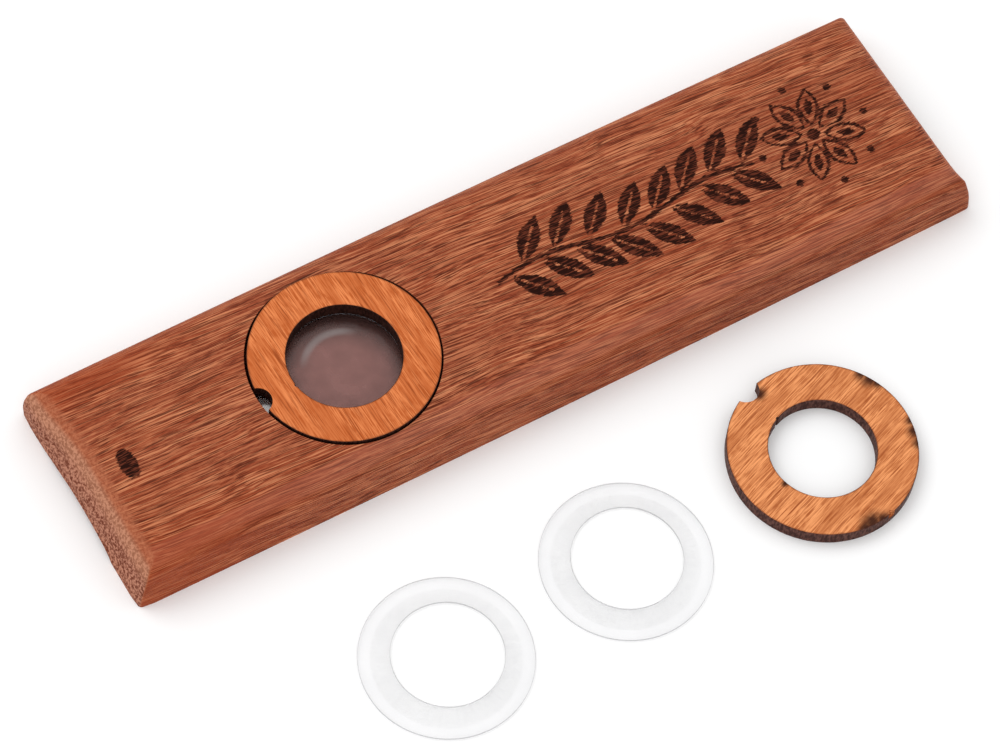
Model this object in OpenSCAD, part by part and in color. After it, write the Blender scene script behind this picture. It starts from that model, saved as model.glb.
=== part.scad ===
// A flat wooden kazoo: a domed hardwood bar with a membrane let into its top,
// the ring that holds the membrane down, and the spares that lie beside it.
// Millimetres. The origin is the middle of the underside. +X runs to the mouth end,
// -X to the marked end, -Y to the side where the spares lie, and +Z is up.

/* [Body] */
// Length of the bar along its underside
body_l = 125; // [105:0.5:150]
// Width of the bar across its underside
body_w = 32.1; // [30:0.1:37]
// Height of the bar at its crown
body_h = 8.2; // [7.8:0.1:12]
// How much lower the top lies at its long edges than at the crown
crown_rise = 0.4; // [0.1:0.05:0.8]
// How far each long side leans in between the underside and the top
side_lean = 0.5; // [0.3:0.1:1.5]
// How far each end leans in between the underside and the top
end_lean = 1.4; // [0.8:0.1:2.5]
// Share of that lean which the marked end loses on its way to the far corner
upright_share = 0.9; // [0:0.05:1]
// Rounding of the upper edges
edge_r = 3; // [1.5:0.1:3.4]
// Rounding of the four upright corners, seen from above
corner_r = 1.8; // [0.6:0.1:3]
// Height of the upright strip along the bottom edge
foot_h = 0.4; // [0.2:0.1:0.8]

/* [Retaining ring] */
// Outer diameter of the ring
ring_d = 24.9; // [22:0.1:26]
// Width of the ring's band, from its rim to its opening
ring_band = 4.9; // [4:0.1:6]
// Thickness of the ring
ring_t = 2.2; // [1.6:0.1:2.6]
// Diameter of the half-round pick notch in the ring's rim
notch_d = 3.6; // [2:0.1:4]
// Width of the tiny nick in the opening where the cut began
nick_w = 0.5; // [0.2:0.05:0.8]
// Direction of the notch of the fitted ring, from +X
notch_turn = 184; // [0:1:359]

/* [Membrane] */
// How much smaller in radius the clear carrier is than the ring above it
carrier_inset = 1.3; // [0.3:0.1:1.5]
// Thickness of the clear carrier
carrier_t = 0.3; // [0.2:0.05:0.6]
// How far the film reaches under the carrier, past the opening
film_lap = 2; // [1:0.1:2.5]
// Thickness of the film with its glue
film_t = 0.08; // [0.05:0.01:0.15]

/* [Membrane seat] */
// Distance of the seat's centre from the middle of the bar, towards the marked end
seat_x = 24.6; // [18:0.1:34]
// Gap all round between the ring and the recess it lies in
seat_gap = 0.25; // [0.2:0.05:0.4]
// Depth of the ring's face below the crown
ring_drop = 0.05; // [0:0.05:0.3]
// Play above and below the membrane
stack_gap = 0.05; // [0.02:0.01:0.1]

/* [Air way] */
// Width of the flat air way, from the mouth end to the chamber and past it
air_w = 12; // [8:0.5:12.5]
// Height of the air way
air_h = 3.2; // [2:0.1:3.4]
// Wood left under the air way
air_floor_t = 1.4; // [1:0.1:1.6]
// Wood left under the chamber, which is cut a little deeper
chamber_floor_t = 1.2; // [0.8:0.1:1.5]
// Length of solid wood between the blind end of the air way and the marked end
air_stop_l = 8; // [5:0.5:12]
// Diameter of the outlet in the underside
outlet_d = 5; // [3:0.1:6]
// Wood between the blind end of the air way and the outlet's rim
outlet_set = 1.5; // [0.5:0.1:3]
// Width of the shallow scoop under the marked end
scoop_w = 16.5; // [10:0.5:22]
// Depth of the scoop at the marked end
scoop_h = 0.95; // [0.3:0.05:1]
// Length over which the scoop runs out
scoop_l = 24; // [18:0.5:30]

/* [Loose spares] */
// Width of the spare ring's band, which is cut a little wider than the fitted ring's
spare_ring_band = 5.4; // [4:0.1:6]
// Gap between the bar and the spare ring
spare_ring_gap = 9.6; // [4:0.1:20]
// Gap between the bar and the first spare membrane
membrane_1_gap = 12.7; // [4:0.1:20]
// Gap between the bar and the second spare membrane
membrane_2_gap = 11.9; // [4:0.1:20]
// How far the first spare membrane lies from the seat, towards the marked end
membrane_1_shift = 7.5; // [0:0.1:15]
// Gap between the two spare membranes
membranes_gap = 4.4; // [1:0.1:15]
// Gap between the second spare membrane and the spare ring
membrane_ring_gap = 6.4; // [1:0.1:15]
// Direction of the spare ring's notch, from +X
spare_notch_turn = 110; // [0:1:359]

/* [Hidden] */

// Overrun of every cut past the face it opens
cut = 1;
// Steps of the crown on each side of the middle
crown_steps = 5;
// Facets of the small rounded forms and of the true rounds
edge_fn = 32;
round_fn = 128;

wood_colour = [0.60, 0.33, 0.24];
ring_colour = [0.84, 0.50, 0.28];
clear_colour = [0.93, 0.94, 0.95, 0.6];
film_colour = [0.62, 0.52, 0.52, 0.7];

// Heights of the stack in the seat, from the ring's face down to the ledge
ring_z = body_h - ring_drop - ring_t;
carrier_z = ring_z - stack_gap - carrier_t;
film_z = carrier_z - film_t;
ledge_z = film_z - stack_gap;

// Diameters that follow the ring
ring_hole_d = ring_d - 2 * ring_band;
spare_ring_hole_d = ring_d - 2 * spare_ring_band;
seat_d = ring_d + 2 * seat_gap;
carrier_d = ring_d - 2 * carrier_inset;
film_d = ring_hole_d + 2 * film_lap;

// Centres of the balls that round the upper edges
ball_x = body_l / 2 - end_lean - edge_r;
ball_y = body_w / 2 - side_lean - edge_r;

// Air way and outlet
air_end_x = -body_l / 2 + air_stop_l;
outlet_x = air_end_x + outlet_set + outlet_d / 2;
scoop_r = (scoop_w * scoop_w / 4 + scoop_h * scoop_h) / (2 * scoop_h);
scoop_tilt = atan(scoop_h / scoop_l);
// How far its tilt carries the crown of the scoop's cutter in past the cutter's axis
scoop_lead = scoop_r * sin(scoop_tilt);

// Places of the loose spares
membrane_1_x = -seat_x - membrane_1_shift;
membrane_2_x = membrane_1_x + carrier_d + membranes_gap;
spare_ring_x = membrane_2_x + carrier_d / 2 + membrane_ring_gap + ring_d / 2;
membrane_1_y = -body_w / 2 - membrane_1_gap - carrier_d / 2;
membrane_2_y = -body_w / 2 - membrane_2_gap - carrier_d / 2;
spare_ring_y = -body_w / 2 - spare_ring_gap - ring_d / 2;

// How far a ball of the marked end moves out, so that the end stands upright at its far corner
function upright(end, share) = end > 0 ? 0 : upright_share * end_lean * (1 + share) / 2;

// Centre of one ball of the upper edge, at a share of the half width from the middle
function edge_ball(end, share) = [
    end * (ball_x + upright(end, share)),
    share * ball_y,
    body_h - edge_r - crown_rise * share * share
];

// The bar before it is cut: leaning sides and ends, a low crown, rounded upper edges
module blank() {
    hull() {
        linear_extrude(height = foot_h)
            offset(r = corner_r, $fn = edge_fn)
                square([body_l - 2 * corner_r, body_w - 2 * corner_r], center = true);
        for (end = [-1, 1])
            for (i = [-crown_steps : crown_steps])
                translate(edge_ball(end, i / crown_steps))
                    sphere(r = edge_r, $fn = edge_fn);
    }
}

// Recess for the ring, with the ledge that the membrane lies on, and the chamber under it
module membrane_seat() {
    translate([-seat_x, 0, ledge_z])
        cylinder(d = seat_d, h = body_h, $fn = round_fn);
    translate([-seat_x, 0, chamber_floor_t])
        cylinder(d = ring_hole_d, h = body_h, $fn = round_fn);
}

// Outline of the air way, flat with round sides, standing on its floor
module air_outline() {
    round_y = air_w / 2 - air_h / 2;
    translate([0, air_h / 2])
        square([2 * round_y, air_h], center = true);
    for (side = [-1, 1])
        translate([side * round_y, air_h / 2])
            circle(d = air_h, $fn = round_fn);
}

// Air way from the mouth end to its blind end, with the outlet through its floor
module air_way() {
    translate([air_end_x, 0, air_floor_t])
        rotate([90, 0, 90])
            linear_extrude(height = body_l)
                air_outline();
    translate([outlet_x, 0, -cut])
        cylinder(d = outlet_d, h = cut + air_floor_t + air_h / 2, $fn = round_fn);
}

// Shallow scoop in the underside that lets the air out below the marked end
module scoop() {
    translate([-body_l / 2, 0, scoop_h - scoop_r])
        rotate([0, 90 + scoop_tilt, 0])
            translate([0, 0, -cut - scoop_lead])
                cylinder(r = scoop_r, h = scoop_l + 2 * cut + scoop_lead, $fn = 2 * round_fn);
}

module body() {
    color(wood_colour)
        difference() {
            blank();
            membrane_seat();
            air_way();
            scoop();
        }
}

// A retaining ring round the Z axis, its notch and its nick towards +X
module notched_ring(hole_d) {
    difference() {
        cylinder(d = ring_d, h = ring_t, $fn = round_fn);
        translate([0, 0, -cut])
            cylinder(d = hole_d, h = ring_t + 2 * cut, $fn = round_fn);
        translate([ring_d / 2, 0, -cut])
            cylinder(d = notch_d, h = ring_t + 2 * cut, $fn = edge_fn);
        translate([hole_d / 2, 0, -cut])
            cylinder(d = nick_w, h = ring_t + 2 * cut, $fn = edge_fn);
    }
}

// A clear carrier ring round the Z axis
module carrier() {
    difference() {
        cylinder(d = carrier_d, h = carrier_t, $fn = round_fn);
        translate([0, 0, -cut])
            cylinder(d = ring_hole_d, h = carrier_t + 2 * cut, $fn = round_fn);
    }
}

// The film that is glued under a carrier
module film() {
    cylinder(d = film_d, h = film_t, $fn = round_fn);
}

module retaining_ring() {
    color(ring_colour)
        translate([-seat_x, 0, ring_z])
            rotate([0, 0, notch_turn])
                notched_ring(ring_hole_d);
}

module membrane_carrier() {
    color(clear_colour)
        translate([-seat_x, 0, carrier_z])
            carrier();
}

module membrane_film() {
    color(film_colour)
        translate([-seat_x, 0, film_z])
            film();
}

module spare_retaining_ring() {
    color(ring_colour)
        translate([spare_ring_x, spare_ring_y, 0])
            rotate([0, 0, spare_notch_turn])
                notched_ring(spare_ring_hole_d);
}

module spare_carrier(x, y) {
    color(clear_colour)
        translate([x, y, film_t])
            carrier();
}

module spare_film(x, y) {
    color(clear_colour)
        translate([x, y, 0])
            film();
}

body();
retaining_ring();
membrane_carrier();
membrane_film();
spare_retaining_ring();
spare_carrier(membrane_1_x, membrane_1_y);  // spare_carrier_1
spare_film(membrane_1_x, membrane_1_y);  // spare_film_1
spare_carrier(membrane_2_x, membrane_2_y);  // spare_carrier_2
spare_film(membrane_2_x, membrane_2_y);  // spare_film_2
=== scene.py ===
# The looks of a flat wooden kazoo and its loose spares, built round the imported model.
import math

import bmesh
import bpy
from mathutils import Matrix, Vector, noise


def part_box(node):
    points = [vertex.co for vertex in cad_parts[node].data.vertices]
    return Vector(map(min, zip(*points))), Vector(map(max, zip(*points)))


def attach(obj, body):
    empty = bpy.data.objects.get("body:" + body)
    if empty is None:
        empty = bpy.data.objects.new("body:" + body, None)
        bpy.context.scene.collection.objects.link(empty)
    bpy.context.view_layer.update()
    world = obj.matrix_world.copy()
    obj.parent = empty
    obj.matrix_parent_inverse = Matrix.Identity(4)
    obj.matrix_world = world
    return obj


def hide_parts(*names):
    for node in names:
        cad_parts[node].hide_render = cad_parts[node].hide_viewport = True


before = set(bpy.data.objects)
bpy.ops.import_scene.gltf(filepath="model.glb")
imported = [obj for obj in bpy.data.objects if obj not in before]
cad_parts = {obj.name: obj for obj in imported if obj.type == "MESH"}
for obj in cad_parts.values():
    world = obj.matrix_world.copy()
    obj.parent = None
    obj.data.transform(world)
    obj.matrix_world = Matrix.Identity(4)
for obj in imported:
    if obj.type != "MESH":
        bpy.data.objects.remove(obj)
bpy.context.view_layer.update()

MM = 0.001
HAIR = 0.01 * MM
TINY = 1e-6
MERGE_DISTANCE = 1e-7
SHARP_ANGLE = math.radians(35)
ROUND_SEGMENTS, SCOOP_SEGMENTS, OUTLET_SEGMENTS, NOTCH_SEGMENTS, FILM_SEGMENTS = 160, 256, 64, 48, 96

# Where the pieces lie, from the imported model
body_low, body_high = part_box("body")
carrier_low, carrier_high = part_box("membrane_carrier")
film_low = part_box("membrane_film")[0]
ring_low, ring_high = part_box("retaining_ring")
spare_ring_low, spare_ring_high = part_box("spare_retaining_ring")

body_length = body_high.x - body_low.x
body_width = body_high.y - body_low.y
body_height = body_high.z
half_length, half_width = body_length / 2, body_width / 2
seat_middle = (carrier_low + carrier_high) / 2
seat_centre = (seat_middle.x, seat_middle.y)

# Driving sizes of the wooden bar
SIDE_SLOPE = math.radians(6.2)
END_SLOPE = math.radians(15.4)
EDGE_ROUND, EDGE_STEPS = 2.5 * MM, 10
FOOT_HEIGHT = 0.4 * MM
CORNER_ROUNDS = {(-1, -1): 0.5 * MM, (-1, 1): 0.3 * MM, (1, -1): 0.6 * MM, (1, 1): 0.5 * MM}
CORNER_STEPS = 5
CORNER_ZONE = 4 * MM
RIDGE_ANGLE = math.radians(20)
CORNER_REACH = 2.2 * MM
CORNER_WEAR = {(-1, -1): 0.18 * MM, (-1, 1): 0.12 * MM, (1, -1): 0.04 * MM, (1, 1): 0.3 * MM}
CORNER_WEAR_HEIGHT = 2.8 * MM
FAR_LEAN = 0.2 * MM
END_NARROWING = 0.25 * MM
CROWN_RISE = 0.4 * MM
CROWN_HALF_WIDTH = 12.6 * MM
CROWN_FOOT = 5.9 * MM
SEAT_GAP = 0.25 * MM
SEAT_SHIFT = 0.08 * MM
RIM_BREAK = 0.05 * MM
STACK_GAP = 0.05 * MM
CHAMBER_FLOOR = 1.2 * MM
AIR_WIDTH = 12 * MM
AIR_HEIGHT = 3.2 * MM
AIR_FLOOR = 1.4 * MM
AIR_STOP = 8 * MM
NEARLY_HALF = 0.499
OUTLET_RADIUS = 2.5 * MM
OUTLET_SET = 1.5 * MM
SCOOP_WIDTH = 16.5 * MM
SCOOP_DEPTH = 0.95 * MM
SCOOP_LENGTH = 24 * MM
SCOOP_MOUTH = 1.25 * MM
SCOOP_MOUTH_HEIGHT = 2.4 * MM
OVERRUN = 1 * MM
UPRIGHT_REACH = 1.26 * MM
UPRIGHT_HEIGHT = 4.4 * MM
MOUTH_UPRIGHT_REACH = 0.55 * MM
MOUTH_UPRIGHT_HEIGHT = 2.6 * MM
ORNAMENT_LOW, ORNAMENT_HIGH = (-3.5 * MM, -9.5 * MM), (56.0 * MM, 9.5 * MM)
ORNAMENT_CELLS = (237, 75)
DOT_LOW, DOT_HIGH = (-57.75 * MM, -3.35 * MM), (-54.15 * MM, 2.05 * MM)
DOT_CELLS = (20, 30)
UPPER_HEIGHT = 5 * MM

# Where each hand-worked change of the bar starts and is full
SCOOP_MOUTH_START, SCOOP_MOUTH_FULL = 1.2 * MM, 0.6 * MM
SCOOP_MOUTH_NEAR, SCOOP_MOUTH_FAR = (-8.7 * MM, -7.2 * MM), (4 * MM, 13 * MM)
UPRIGHT_ACROSS, UPRIGHT_ALONG = (2 * MM, 14.5 * MM), (46 * MM, 57 * MM)
MOUTH_UPRIGHT_ACROSS, MOUTH_UPRIGHT_ALONG = (11 * MM, 16.5 * MM), (48 * MM, 57 * MM)
LEAN_ACROSS, LEAN_HEIGHT = (8 * MM, 15 * MM), (1.5 * MM, 6.5 * MM)
BOW_ACROSS, BOW_HEIGHT = (0, 14 * MM), (2 * MM, 6 * MM)

# Where the bar's faces are divided, so that they can follow those changes
HEIGHT_SLICES = [z * MM for z in (1.2, 2.2, 3.4, 4.6)]
SIDE_SLICES = [x * MM for x in range(-54, 55, 12)]
SCOOP_SLICES = [y * MM for y in (-8.9, -8.6, -8.3, 8.3, 9.2, 10.1, 11, 12, 13)]
TOP_SLICES_ACROSS = [y * MM for y in range(-15, 16)]
TOP_SLICES_ALONG = [x * MM for x in (-60, -58, -56, -53, -50, -46, -42, -12, 20, 58)]

# How faces are told apart, and marked for the materials
LEVEL, UPWARD, DOWNWARD, WALL = 0.99, 0.02, -0.5, 0.9
GRAIN_DROP, GRAIN_DEPTH = 0.5, 0.06
GRAIN_SIDE, GRAIN_END = (12.5 * MM, 15.2 * MM), (56 * MM, 58 * MM)
END_SIDE_ZONE, END_FACING, MOUTH_END_START = 3 * MM, (0.2, 0.7), 0.6
INSIDE_INSET, INSIDE_MARGIN = 1.5 * MM, 0.1 * MM
FLOOR_SHARE = 0.9

# Driving sizes of the rings and membranes
RING_RADIUS = 12.45 * MM
HOLE_RADIUS = 7.55 * MM
FITTED_HOLE_RADIUS = 7.47 * MM
LOOSE_HOLE_RADIUS = 7.05 * MM
LOOSE_CARRIER_HOLE = 7.2 * MM
CENTRED = (0, 0)
LOOSE_CARRIER_SHIFT = (0.35 * MM, 0.3 * MM)
FITTED_CARRIER_SLIP = (-1.05 * MM, -0.08 * MM)
NOTCH_RADIUS = 1.85 * MM
NOTCH_OUT = 0.35 * MM
NICK_RADIUS = 0.25 * MM
NOTCH_TURN = math.radians(182.5)
SPARE_NOTCH_TURN = math.radians(109.5)
NICK_TURN = math.radians(4)
CHIP_TURN = math.radians(-76.9)
CHIP_HALF, CHIP_DEPTH, CHIP_OUT = 0.45 * MM, 1.1 * MM, 0.08 * MM
RING_ROUND = 0.07 * MM
CARRIER_ROUND = 0.03 * MM
FILM_RINGS = 14
RIPPLE, RIPPLE_LENGTH, SLACK_SHARES = 0.05 * MM, 3.5 * MM, (0.3, 0.95)


# Shared helpers for meshes

def shade(mesh):
    """Shades a mesh smooth, except at its sharp edges."""
    mesh.shade_smooth()
    mesh.set_sharp_from_angle(angle=SHARP_ANGLE)


def new_piece(name, bm):
    """Turns a bmesh into an object at the origin."""
    bmesh.ops.remove_doubles(bm, verts=bm.verts, dist=MERGE_DISTANCE)
    bmesh.ops.recalc_face_normals(bm, faces=bm.faces)
    mesh = bpy.data.meshes.new(name)
    bm.to_mesh(mesh)
    bm.free()
    shade(mesh)
    piece = bpy.data.objects.new(name, mesh)
    bpy.context.scene.collection.objects.link(piece)
    return piece


def lathe(profile, centre, segments=ROUND_SEGMENTS, closed=True):
    """Turns a profile of (radius, height) points a full round about an upright axis."""
    bm = bmesh.new()
    points = [bm.verts.new((radius, 0, height)) for radius, height in profile]
    edges = [bm.edges.new(pair) for pair in zip(points, points[1:])]
    if closed:
        edges.append(bm.edges.new((points[-1], points[0])))
    bmesh.ops.spin(
        bm, geom=points + edges, cent=(0, 0, 0), axis=(0, 0, 1),
        angle=2 * math.pi, steps=segments, use_merge=True,
    )
    bmesh.ops.remove_doubles(bm, verts=bm.verts, dist=MERGE_DISTANCE)
    bmesh.ops.translate(bm, verts=bm.verts, vec=(centre[0], centre[1], 0))
    return bm


def cylinder(radius, low, high, centre, segments=ROUND_SEGMENTS):
    """An upright cylinder from low to high."""
    bm = bmesh.new()
    bmesh.ops.create_cone(
        bm, cap_ends=True, segments=segments, radius1=radius, radius2=radius, depth=high - low,
    )
    bmesh.ops.translate(bm, verts=bm.verts, vec=(centre[0], centre[1], (low + high) / 2))
    return bm


def box(low, high):
    """A block between two corners."""
    bm = bmesh.new()
    bmesh.ops.create_cube(bm, size=1)
    low, high = Vector(low), Vector(high)
    bmesh.ops.scale(bm, verts=bm.verts, vec=high - low)
    bmesh.ops.translate(bm, verts=bm.verts, vec=(low + high) / 2)
    return bm


def apply_modifiers(piece):
    """Replaces a piece's mesh by what its modifiers make of it."""
    depsgraph = bpy.context.evaluated_depsgraph_get()
    finished = bpy.data.meshes.new_from_object(piece.evaluated_get(depsgraph))
    old = piece.data
    piece.modifiers.clear()
    piece.data = finished
    bpy.data.meshes.remove(old)
    finished.name = piece.name


def cut(piece, cutter_bmesh):
    """Takes the cutter's shape out of the piece."""
    cutter = new_piece("cutter", cutter_bmesh)
    boolean = piece.modifiers.new("cut", "BOOLEAN")
    boolean.operation = "DIFFERENCE"
    boolean.solver = "EXACT"
    boolean.object = cutter
    apply_modifiers(piece)
    bpy.data.objects.remove(cutter)


def slice_mesh(bm, axis, places, faces=None):
    """Cuts faces by planes square to an axis, so that they can follow a curve."""
    normal = [0, 0, 0]
    normal[axis] = 1
    for place in places:
        point = [0, 0, 0]
        point[axis] = place
        chosen = [f for f in bm.faces if faces is None or faces(f)]
        verts = {v for f in chosen for v in f.verts}
        edges = {e for f in chosen for e in f.edges}
        geom = list(verts) + list(edges) + chosen
        bmesh.ops.bisect_plane(bm, geom=geom, plane_co=point, plane_no=normal, dist=MERGE_DISTANCE)


def round_edges(bm, edges, size, steps):
    """Rounds edges by a size, in a number of steps."""
    bmesh.ops.bevel(
        bm, geom=edges, offset=size, offset_type="OFFSET", segments=steps,
        profile=0.5, affect="EDGES", material=-1, clamp_overlap=True,
    )


def polar(centre, reach, angle):
    """The place at a distance and in a direction from a centre."""
    return Vector(centre) + Vector((math.cos(angle), math.sin(angle))) * reach


def smooth_step(value, start, end):
    """0 before start, 1 past end, and a soft rise between them."""
    share = min(max((value - start) / (end - start), 0.0), 1.0)
    return share * share * (3 - 2 * share)


# The ornament burnt into the bar, in millimetres: a leafy branch that leads to a rosette

STEM_START, STEM_END = -2.0, 37.0
STEM_WAVE, STEM_SWING, STEM_WIDTH = 26.0, 0.9, 0.66
LEAF_STEP, LEAF_LEAN = 4.75, math.radians(47)
LEAF_LENGTH, LEAF_WIDTH, LEAF_VEIN = 7.4, 2.9, 0.13
LEAF_START, LEAF_STALK, VEIN_END = 0.35, 0.6, 0.28
ROSETTE_X, ROSETTE_PETALS = 46.4, 8
PETAL_MIDDLE, PETAL_LENGTH, PETAL_WIDTH, PETAL_LINE = 4.35, 6.0, 3.1, 0.5
KERNEL_LENGTH, KERNEL_WIDTH = 0.45, 0.38
ROSETTE_EYE, ROSETTE_REACH, ROSETTE_DOT = 0.95, 7.9, 0.55
DOT_PLACE, DOT_HALF = (-55.95, -0.65), (1.2, 2.3)
DOT_SIDE = -50
ORNAMENT_DEPTH = 0.1 * MM
UNBURNT, DEEPEST = -1.0, 1.0
CHAR_EDGE, CHAR_MEAN, CHAR_SWING, CHAR_GRAIN = (-0.08, 0.12), 0.8, 0.4, 0.4 * MM


def stem_height(x):
    """Where the wavy stem lies across the bar."""
    return STEM_SWING * math.sin(2 * math.pi * (x - STEM_START) / STEM_WAVE)


def inside_leaf(x, y, middle, turn, length, width, vein=0.0):
    """How far inside a pointed leaf a point lies, less than 0 outside it or on its vein."""
    east, north = x - middle[0], y - middle[1]
    along = east * math.cos(turn) + north * math.sin(turn)
    aside = abs(north * math.cos(turn) - east * math.sin(turn))
    depth = width / 2 * (1 - (2 * along / length) ** 2) - aside
    if vein and along < length * VEIN_END:
        depth = min(depth, aside - vein)
    return depth


def inside_branch(x, y):
    """How far inside the burnt stem or one of its leaves a point lies."""
    depth = min(STEM_WIDTH / 2 - abs(y - stem_height(x)), x - STEM_START, STEM_END - x)
    for i in range(int((STEM_END - STEM_START) / LEAF_STEP)):
        root = STEM_START + LEAF_STEP * (i + LEAF_START)
        for side in (-1, 1):
            foot = root + (0.5 * LEAF_STEP if side > 0 else 0)
            turn = side * LEAF_LEAN
            reach = LEAF_LENGTH / 2 + LEAF_STALK
            middle = (foot + reach * math.cos(turn), stem_height(foot) + reach * math.sin(turn))
            depth = max(depth, inside_leaf(x, y, middle, turn, LEAF_LENGTH, LEAF_WIDTH, LEAF_VEIN))
    return depth


def inside_rosette(x, y):
    """How far inside the rosette's eye, petals or dots a point lies."""
    depth = ROSETTE_EYE - math.hypot(x - ROSETTE_X, y)
    for i in range(ROSETTE_PETALS):
        turn = 2 * math.pi * (i + 0.5) / ROSETTE_PETALS
        middle = (ROSETTE_X + PETAL_MIDDLE * math.cos(turn), PETAL_MIDDLE * math.sin(turn))
        petal = inside_leaf(x, y, middle, turn, PETAL_LENGTH, PETAL_WIDTH)
        kernel = inside_leaf(x, y, middle, turn, PETAL_LENGTH * KERNEL_LENGTH, PETAL_WIDTH * KERNEL_WIDTH)
        depth = max(depth, min(petal, PETAL_LINE - petal), kernel)
        turn += math.pi / ROSETTE_PETALS
        dot = (ROSETTE_X + ROSETTE_REACH * math.cos(turn), ROSETTE_REACH * math.sin(turn))
        depth = max(depth, ROSETTE_DOT - math.hypot(x - dot[0], y - dot[1]))
    return depth


def inside_dot(x, y):
    """How far inside the burnt oval near the marked end a point lies."""
    reach = math.hypot((x - DOT_PLACE[0]) / DOT_HALF[0], (y - DOT_PLACE[1]) / DOT_HALF[1])
    return (1 - reach) * DOT_HALF[0]


def burn_depth(x, y):
    """How far inside a burnt mark a point of the bar's top lies, held between -1 and 1."""
    depth = inside_dot(x, y) if x < DOT_SIDE else max(inside_branch(x, y), inside_rosette(x, y))
    return min(max(depth, UNBURNT), DEEPEST)


# The bar

def bar_blank():
    """The bar before it is cut: leaning sides and ends, and rounded upper edges and corners."""
    leaning_height = body_height - FOOT_HEIGHT
    bm = box((-half_length, -half_width, FOOT_HEIGHT), (half_length, half_width, body_height))
    end_inset = leaning_height * math.tan(END_SLOPE)
    side_inset = leaning_height * math.tan(SIDE_SLOPE)
    top = [v for v in bm.verts if v.co.z > body_height / 2]
    shrink = (1 - 2 * end_inset / body_length, 1 - 2 * side_inset / body_width, 1)
    bmesh.ops.scale(bm, verts=top, vec=shrink)
    bottom = [f for f in bm.faces if f.normal.z < -LEVEL]
    foot = bmesh.ops.extrude_face_region(bm, geom=bottom)
    bmesh.ops.delete(bm, geom=bottom, context="FACES")
    foot_verts = [v for v in foot["geom"] if isinstance(v, bmesh.types.BMVert)]
    bmesh.ops.translate(bm, verts=foot_verts, vec=(0, 0, -FOOT_HEIGHT))
    rim = [e for e in bm.edges if min(v.co.z for v in e.verts) > body_height / 2]
    round_edges(bm, rim, EDGE_ROUND, EDGE_STEPS)
    bm.normal_update()
    for (end, side), offset in CORNER_ROUNDS.items():
        ridge = []
        for edge in bm.edges:
            middle = (edge.verts[0].co + edge.verts[1].co) / 2
            at_end = middle.x * end > half_length - CORNER_ZONE
            at_side = middle.y * side > half_width - CORNER_ZONE
            rising = abs(edge.verts[0].co.z - edge.verts[1].co.z) > HAIR
            bent = len(edge.link_faces) == 2 and edge.calc_face_angle(0) > RIDGE_ANGLE
            if at_end and at_side and rising and bent:
                ridge.append(edge)
        round_edges(bm, ridge, offset, CORNER_STEPS)
    bm.normal_update()
    for low, high in ((ORNAMENT_LOW, ORNAMENT_HIGH), (DOT_LOW, DOT_HIGH)):
        slice_mesh(bm, 0, (low[0], high[0]), on_flat_top)

        def between(face):
            return on_flat_top(face) and low[0] < face.calc_center_median().x < high[0]
        slice_mesh(bm, 1, (low[1], high[1]), between)
    slice_mesh(bm, 2, HEIGHT_SLICES)
    corner_x, corner_y = half_length - CORNER_REACH, half_width - CORNER_REACH
    slice_mesh(bm, 0, (-corner_x, corner_x))
    slice_mesh(bm, 1, (-corner_y, corner_y))

    def marked_foot(face):
        middle = face.calc_center_median()
        return middle.x < -corner_x and middle.z < SCOOP_MOUTH_HEIGHT
    slice_mesh(bm, 1, SCOOP_SLICES, marked_foot)
    slice_mesh(bm, 0, SIDE_SLICES, lambda face: not on_flat_top(face))
    return bm


def air_way_cutter():
    """The flat air way with round sides, from past the mouth end to its blind end."""
    bm = box(
        (AIR_STOP - half_length, -AIR_WIDTH / 2, AIR_FLOOR),
        (half_length + OVERRUN, AIR_WIDTH / 2, AIR_FLOOR + AIR_HEIGHT),
    )
    along = [e for e in bm.edges if abs(e.verts[0].co.x - e.verts[1].co.x) > half_length]
    round_edges(bm, along, AIR_HEIGHT * NEARLY_HALF, EDGE_STEPS)
    return bm


def scoop_cutter():
    """A wide lying cylinder, tilted so that it runs out towards the middle of the underside."""
    radius = (SCOOP_WIDTH ** 2 / 4 + SCOOP_DEPTH ** 2) / (2 * SCOOP_DEPTH)
    tilt = math.atan(SCOOP_DEPTH / SCOOP_LENGTH)
    lead = OVERRUN + radius * math.sin(tilt)
    length = SCOOP_LENGTH + OVERRUN + lead
    bm = bmesh.new()
    bmesh.ops.create_cone(
        bm, cap_ends=True, segments=SCOOP_SEGMENTS, radius1=radius, radius2=radius, depth=length,
    )
    bmesh.ops.translate(bm, verts=bm.verts, vec=(0, 0, length / 2 - lead))
    bmesh.ops.rotate(bm, verts=bm.verts, cent=(0, 0, 0), matrix=Matrix.Rotation(math.pi / 2 + tilt, 3, "Y"))
    bmesh.ops.translate(bm, verts=bm.verts, vec=(-half_length, 0, SCOOP_DEPTH - radius))
    return bm


def lower_top(co):
    """How much lower than the flat blank the finished top lies at a point."""
    share = min(abs(co.y) / CROWN_HALF_WIDTH, 1.0)
    fall = CROWN_RISE * share * share
    return fall * smooth_step(co.z, CROWN_FOOT, body_height)


def on_flat_top(face):
    """Whether a face is part of the blank's level top."""
    return face.normal.z > LEVEL and face.calc_center_median().z > body_height - HAIR


def in_patch(face, low, high):
    """Whether a face of the level top lies in one rectangle of it."""
    middle = face.calc_center_median()
    return on_flat_top(face) and low[0] < middle.x < high[0] and low[1] < middle.y < high[1]


def refine_patch(bm, low, high, counts):
    """Divides one rectangle of the top into a fine grid that can take burnt marks."""
    for axis, count in enumerate(counts):
        edges = {e for f in bm.faces if in_patch(f, low, high) for e in f.edges}
        along = [e for e in edges if abs(e.verts[0].co[axis] - e.verts[1].co[axis]) > HAIR]
        bmesh.ops.subdivide_edges(bm, edges=along, cuts=count, use_grid_fill=True)
        bm.normal_update()


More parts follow.
